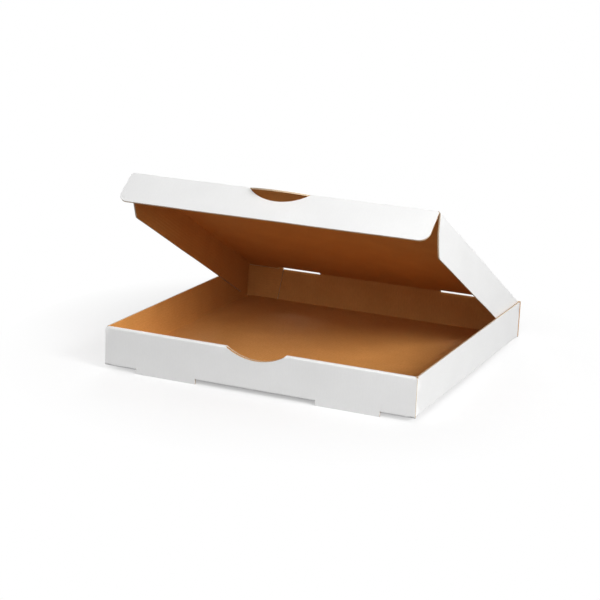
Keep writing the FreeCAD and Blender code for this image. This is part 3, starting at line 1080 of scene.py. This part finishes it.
def make_floor():
    """Pale floor under the front tongues and the back wall's foot, white further off."""
    material, nodes, shader = new_material("pale_floor")
    place = nodes.add("TexCoord", output=3)
    seen = camera_ray(nodes)
    pale = nodes.mix(nodes.noise(place, scale=14.0), *FLOOR_SEEN)
    nodes.link(nodes.mix(seen, FLOOR_BOUNCE, pale), shader.inputs["Base Color"])
    shader.inputs["Roughness"].default_value = 0.9
    distance = nodes.add("VectorMath", [(0, place)], output=1, operation="LENGTH")
    far = nodes.math("MULTIPLY", nodes.spread(distance, *FLOOR_FADE, *FLOOR_WHITE), seen)
    white = nodes.add("Emission", [("Strength", 1.0)])
    mixed = nodes.add("MixShader", [(0, far), (1, shader.outputs[0]), (2, white)])
    nodes.link(mixed, material.node_tree.nodes["Material Output"].inputs[0])
    mesh = bpy.data.meshes.new("floor")
    corners = [(x * FLOOR_SIZE, y * FLOOR_SIZE, 0) for x, y in ((-1, -1), (1, -1), (1, 1), (-1, 1))]
    mesh.from_pydata(corners, [], [(0, 1, 2, 3)])
    mesh.materials.append(material)
    floor = bpy.data.objects.new("floor", mesh)
    bpy.context.scene.collection.objects.link(floor)
    feet_y = FRONT + BOARD
    lean = math.atan2(BASE_LOW, BACK - CREASE_OUTER - feet_y)
    floor.rotation_euler.x = lean
    floor.location = (0, 0, -feet_y * math.tan(lean) * METRE)


def direction(azimuth, elevation):
    """Unit vector away from the box: azimuth 0 is its front, 90 its right side."""
    a, e = math.radians(azimuth), math.radians(elevation)
    return Vector((math.sin(a) * math.cos(e), -math.cos(a) * math.cos(e), math.sin(e)))


def make_lamp(name, azimuth, elevation, size, power):
    """A square soft lamp that faces the box from a direction."""
    data = bpy.data.lights.new(name, "AREA")
    data.size = size
    data.energy = power
    lamp = bpy.data.objects.new(name, data)
    bpy.context.scene.collection.objects.link(lamp)
    back = direction(azimuth, elevation)
    lamp.location = Vector((0, 0, LAMP_AIM)) + back * LAMP_DISTANCE
    lamp.rotation_euler = back.to_track_quat("Z", "Y").to_euler()


def make_light():
    """A white room that gives little light itself, and lamps round the box."""
    world = bpy.data.worlds.new("studio")
    bpy.context.scene.world = world
    world.use_nodes = True
    nodes = Nodes(world.node_tree)
    background = world.node_tree.nodes["Background"]
    nodes.link(nodes.spread(camera_ray(nodes), 0.0, 1.0, ROOM_LIGHT, 1.0), background.inputs["Strength"])
    background.inputs["Color"].default_value = (1, 1, 1, 1)
    make_lamp("front", azimuth=12, elevation=37, size=0.6, power=11.5)
    make_lamp("front_low", azimuth=0, elevation=24, size=1.0, power=8)
    make_lamp("front_right", azimuth=45, elevation=25, size=1.0, power=12.5)
    make_lamp("right", azimuth=70, elevation=28, size=0.8, power=45)
    make_lamp("overhead", azimuth=0, elevation=80, size=1.0, power=2)
    make_lamp("behind", azimuth=200, elevation=16, size=1.2, power=30)
    make_lamp("left_behind", azimuth=-110, elevation=16, size=1.2, power=18)


def make_camera():
    """Camera with the photograph's viewing angle, fitted to the box's edges."""
    data = bpy.data.cameras.new("camera")
    camera = bpy.data.objects.new("camera", data)
    bpy.context.scene.collection.objects.link(camera)
    back = direction(CAMERA_AZIMUTH, CAMERA_ELEVATION)
    right = (-back).cross(Vector((0, 0, 1))).normalized()
    up = right.cross(-back)
    roll = math.radians(CAMERA_ROLL)
    turned_right = math.cos(roll) * right + math.sin(roll) * up
    turned_up = math.cos(roll) * up - math.sin(roll) * right
    place = Matrix((turned_right, turned_up, back)).transposed().to_4x4()
    place.translation = Vector(CAMERA_PLACE) * METRE
    camera.matrix_world = place
    data.sensor_width = SENSOR
    data.lens = CAMERA_FOCUS / PHOTO_WIDTH * SENSOR
    data.clip_start = 0.05
    data.clip_end = 50.0
    bpy.context.scene.camera = camera


make_camera()
white_liner()
brown_liner()
cut_edge()
make_tray()
make_lid()
make_flap()
make_hinge_crease()
make_fold_crease()
make_floor()
make_light()
bpy.context.scene.view_settings.view_transform = "Standard"
